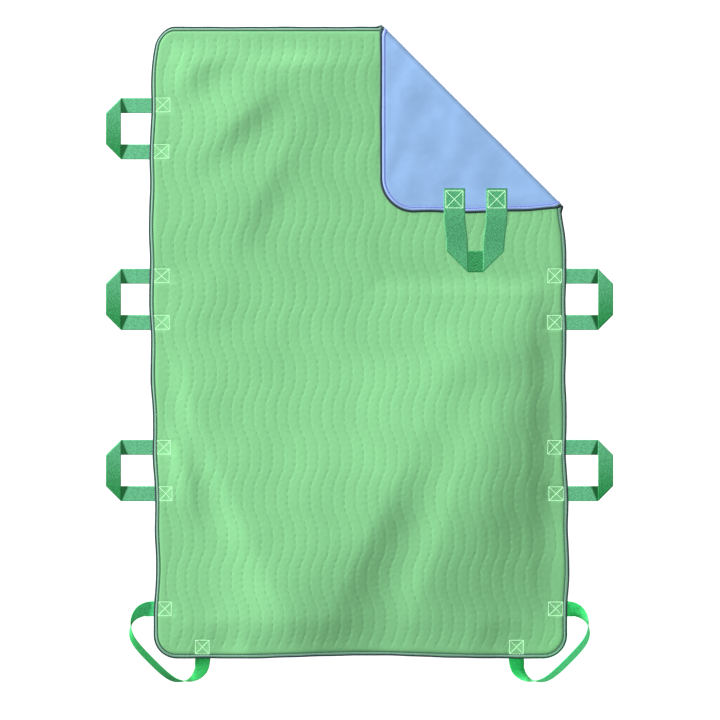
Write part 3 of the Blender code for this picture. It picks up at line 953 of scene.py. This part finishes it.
def make_corner_handle():
    """The bigger handle on the folded corner. It droops from the flap on to the pad."""
    handle = "corner_handle"
    back = fold_over().inverted()
    low, high = (back @ Vector(corner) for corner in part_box("corner_handle_loop"))
    ends = [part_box(node) for node in nodes_of(handle, "sewn_end")]
    width = ends[0][1][0] - ends[0][0][0]
    spacing = abs(ends[0][0][0] - ends[1][0][0])
    reach = max(low.x, high.x) - RIGHT - 0.4 * MM
    sewn = RIGHT - min((back @ Vector(corner)).x for corner in ends[0])
    points, places, zones = straight_strap(width, spacing, reach, sewn, taper=6 * MM)
    legs = smooth(points[..., 0] / (12 * MM))
    zones[..., 0] = 0.30 + 0.05 * legs + 0.45 * zones[..., 0]
    zones[..., 1] = 0
    points[..., 2] += 4.6 * MM * smooth((points[..., 0] - 1 * MM) / (85 * MM))
    space = fold_over() @ Matrix.Translation((RIGHT, (low.y + high.y) / 2, 0))
    strap = strap_object(handle, moved(points, space), places, zones)
    blend_at_root(strap)


def curve_through(values, count):
    """A Catmull-Rom curve through values, as count evenly stepped samples."""
    values = np.asarray(values, dtype=float)
    padded = np.concatenate([[2 * values[0] - values[1]], values, [2 * values[-1] - values[-2]]])
    position = np.linspace(0, len(values) - 1, count)
    index = np.minimum(position.astype(int), len(values) - 2)
    t = position - index
    if values.ndim > 1:
        t = t[:, None]
    p0, p1, p2, p3 = padded[index], padded[index + 1], padded[index + 2], padded[index + 3]
    return 0.5 * (2 * p1 + (p2 - p0) * t + (2 * p0 - 5 * p1 + 4 * p2 - p3) * t**2
                  + (3 * p1 - p0 - 3 * p2 + p3) * t**3)


# The foot strap's middle line from one root to the middle of its run, as along the foot edge and
# up the side edge from the pad's sharp corner, and how far it leans there, in degrees
FOOT_PATH = ((-0.0015, 0.104), (-0.026, 0.098), (-0.0430, 0.074), (-0.0395, 0.040), (-0.003, -0.003))
FOOT_LEAN = (0.0, 38.0, 90.0, 120.0, 125.0)
FOOT_SEWN = 44 * MM
FOOT_WIDTH = 32 * MM


def foot_line():
    """The foot strap's middle line in even steps: run, place in plan and lean at each."""
    half = [(FOOT_PATH[0][0] + FOOT_SEWN, FOOT_PATH[0][1]), *FOOT_PATH]
    lean = [0.0, *FOOT_LEAN]
    fine = curve_through(half + [(y, x) for x, y in reversed(half[:-1])], 2400)
    leans = curve_through(lean + lean[-2::-1], 2400)
    run = np.concatenate([[0], np.cumsum(np.hypot(*np.diff(fine, axis=0).T))])
    marks = np.linspace(0, run[-1], int(run[-1] / ROW_SPACING))
    centre = np.stack([np.interp(marks, run, places) for places in fine.T], axis=1)
    angle = np.radians(np.interp(marks, run, leans))
    angle = np.where((marks < FOOT_SEWN) | (marks > run[-1] - FOOT_SEWN), 0.0, angle)
    kernel = np.hanning(15) / np.hanning(15).sum()
    return marks, centre, np.convolve(np.pad(angle, 7, mode="edge"), kernel, mode="valid")


def foot_points(marks, centre, angle, across, through):
    """The foot strap's points, each ring standing on the bed at its own lean."""
    along = np.gradient(centre, axis=0)
    along /= np.linalg.norm(along, axis=1)[:, None]
    out = np.stack([along[:, 1], -along[:, 0], np.zeros(len(along))], axis=1)
    up = np.array([0, 0, 1.0])
    cos, sin = np.cos(angle)[:, None], np.sin(angle)[:, None]
    thick = woven(marks[:, None], across, through * np.ones((len(marks), 1)))
    offsets = (out * cos + up * sin)[:, None] * across[..., None]
    offsets = offsets + (up * cos - out * sin)[:, None] * thick[..., None]
    lowest = offsets[..., 2].min(axis=1)
    return np.concatenate([centre, -lowest[:, None]], axis=1)[:, None] + offsets


def foot_painted_tones(marks, angle, on_left):
    """Painted light and shade along the foot strap: how far its colour is its grip's dark one, and
    painted shade where it turns on edge.
    """
    # painted light and shade: the leg's pale colour where the strap would be lit, the grip's dark one
    # where it would be in shade, set apart for the left and right straps
    shade_shares = (0.2, 0.25, 0.95, 0.85, 0.8, 1.0, 1.0) if on_left else (0.9, 0.9, 0.1, 0.0, 0.1, 1.0, 1.0)
    shade_share = np.interp(marks, np.linspace(0, marks[-1], len(shade_shares)), shade_shares)
    # painted shade where the strap stands on edge, and towards its far end on the left strap
    turn = 0.7 * hump(angle - math.radians(84), math.radians(8))
    if on_left:
        turn += 0.5 * smooth((marks / marks[-1] - 0.72) / 0.08)
    return np.stack([shade_share, turn], axis=-1)


def make_foot_handle(handle, side):
    """The strap round a foot corner. side is 1 on the left and -1 on the right."""
    marks, centre, angle = foot_line()
    across, through = strap_section(FOOT_WIDTH).T[:, None]
    points = foot_points(marks, centre, angle, across, through)
    points[..., 0] = (LEFT if side > 0 else RIGHT) + side * points[..., 0]
    points[..., 1] += FOOT
    places = np.stack(np.broadcast_arrays(marks[:, None], across), axis=-1)
    zones = foot_painted_tones(marks, angle, side > 0)[:, None] * np.ones_like(across)[..., None]
    strap = strap_object(handle, points, places, zones, "foot_webbing", side > 0)
    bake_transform(strap)


def crossed_square(half):
    """Starts and ends of the stitches of a square with a cross in it, about its own middle."""
    corners = np.array([(-half, -half), (half, -half), (half, half), (-half, half)])
    lines = [(corners[i], corners[(i + 1) % 4]) for i in range(4)]
    lines += [(corners[0] * 0.97, corners[2] * 0.97), (corners[1] * 0.97, corners[3] * 0.97)]
    starts, ends = [], []
    for begin, finish in lines:
        count = int(round(np.linalg.norm(finish - begin) / (3.0 * MM)))
        for index in range(count):
            starts.append(begin + (finish - begin) * (index + 0.04) / count)
            ends.append(begin + (finish - begin) * (index + 0.96) / count)
    return np.array(starts), np.array(ends)


def stitching(name, starts, ends, radius, nodes, body, shape=None):
    """The stitches of a crossed square, on one body."""
    points, faces = stitches(starts, ends, radius)
    obj = new_object(name, shape(points) if shape else points, faces, points[:, :2])
    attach(obj, body)
    finish_piece(obj, "box", nodes)


def stitching_on_facing(name, middle, half, nodes):
    """A crossed square sewn through the facing at a place on the flat cut."""
    starts, ends = (spots + middle for spots in crossed_square(half))
    sunk = inside_boxes(*middle.reshape(2, 1))[0]
    raised = (0.1 + 0.6 * sunk) * MM
    starts = laid(*starts.T, facing_height(*starts.T) + raised)
    ends = laid(*ends.T, facing_height(*ends.T) + raised)
    if fold_distance(*middle) > 0:
        stitching(name, starts, ends, 0.68 * MM, nodes, "corner_flap", folded)
    else:
        stitching(name, starts, ends, 0.68 * MM, nodes, "pad")


def stitching_on_strap(name, middle, half, level, nodes):
    """A crossed square on a strap that is sewn to the corner's blue side."""
    starts, ends = (spots + middle for spots in crossed_square(half))
    starts = np.column_stack([starts, np.full(len(starts), level)])
    ends = np.column_stack([ends, np.full(len(ends), level)])
    stitching(name, starts, ends, 0.85 * MM, nodes, "corner_flap")


def make_box_stitching(node):
    """A strap end's stitches. The corner handle's show on both sides of the cloth."""
    low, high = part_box(node)
    middle = (np.array(low) + np.array(high))[:2] / 2
    half = (high[0] - low[0]) / 2 - 0.6 * MM
    name = node.replace("box_stitch", "box_stitching")
    if not node.startswith("corner"):
        stitching_on_facing(name, middle, half, (node,))
        return
    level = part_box(node.replace("box_stitch", "sewn_end"))[1][2] + 0.1 * MM
    stitching_on_strap(name, middle, half, level, (node,))
    through = fold_over().inverted() @ Vector((*middle, 0))
    stitching_on_facing(name + "_through", np.array(through[:2]), half, ())


# ---------------- stage

def make_stage():
    """A white floor just under the pad's lowest plane."""
    half = 6.0
    corners = [(-half, -half, 0), (half, -half, 0), (half, half, 0), (-half, half, 0)]
    obj = new_object("floor", corners, [[0, 1, 2, 3]])
    obj.location.z = -0.4 * MM
    shader = Shader("floor_white", 0.9)
    place = shader.add("ShaderNodeTexCoord").outputs["Object"]
    shader.colour(shader.ramp(shader.noise(place, 2.0), (0.93, 0.93, 0.93), (0.95, 0.95, 0.95)))
    obj.data.materials.append(shader.material)


def area_light(name, place, size, power, shadow):
    """A round light that points at the middle of the pad."""
    light = bpy.data.lights.new(name, "AREA")
    light.use_shadow = shadow
    light.shape = "DISK"
    light.size = size
    light.energy = power
    obj = bpy.data.objects.new(name, light)
    obj.location = place
    obj.rotation_euler = (-Vector(place)).to_track_quat("-Z", "Y").to_euler()
    bpy.context.scene.collection.objects.link(obj)


def make_light():
    """White surroundings, a low key from the head left and two soft lights.

    Only the light from overhead casts a shadow, which is the soft one where the pad meets the bed.
    """
    world = bpy.data.worlds.new("studio")
    world.use_nodes = True
    background = world.node_tree.nodes["Background"].inputs
    background["Color"].default_value = (1, 1, 1, 1)
    background["Strength"].default_value = 0.36
    bpy.context.scene.world = world
    area_light("key", (-9.9, 8.3, 2.8), 3.0, 7500, shadow=False)
    area_light("fill", (4.0, -2.0, 3.0), 1.5, 70, shadow=False)
    area_light("top", (-0.6, 0.6, 3.4), 2.5, 22, shadow=True)


def make_camera():
    """Straight down on the pad from high up."""
    camera = bpy.data.cameras.new("camera")
    camera.sensor_width = 36
    height = 4.0
    seen = 1.5066  # width of the bed that the view takes in
    camera.lens = camera.sensor_width * height / seen
    camera.clip_end = 50
    obj = bpy.data.objects.new("camera", camera)
    obj.location = (1 * MM, -0.0122, height)
    bpy.context.scene.collection.objects.link(obj)
    bpy.context.scene.camera = obj


# ---------------- everything

bpy.context.scene.view_settings.view_transform = "Standard"
make_camera()
make_stage()
make_light()

facing = make_facing()
quilting = make_quilting_thread()
core = make_core()
film = make_film()
backing = make_backing()
edge = make_overlock()
hem_band = make_hem_band()
under_band = make_backing_band()
hem = make_hem_stitches()
under_hem = make_backing_hem_stitches()

for handle in ("left_head_handle", "left_middle_handle", "left_lower_handle",
               "right_middle_handle", "right_lower_handle"):
    make_side_handle(handle)
make_corner_handle()
make_foot_handle("foot_left_handle", 1)
make_foot_handle("foot_right_handle", -1)
for node in sorted(frame["nodes"]):
    if node.endswith("box_stitch"):
        make_box_stitching(node)
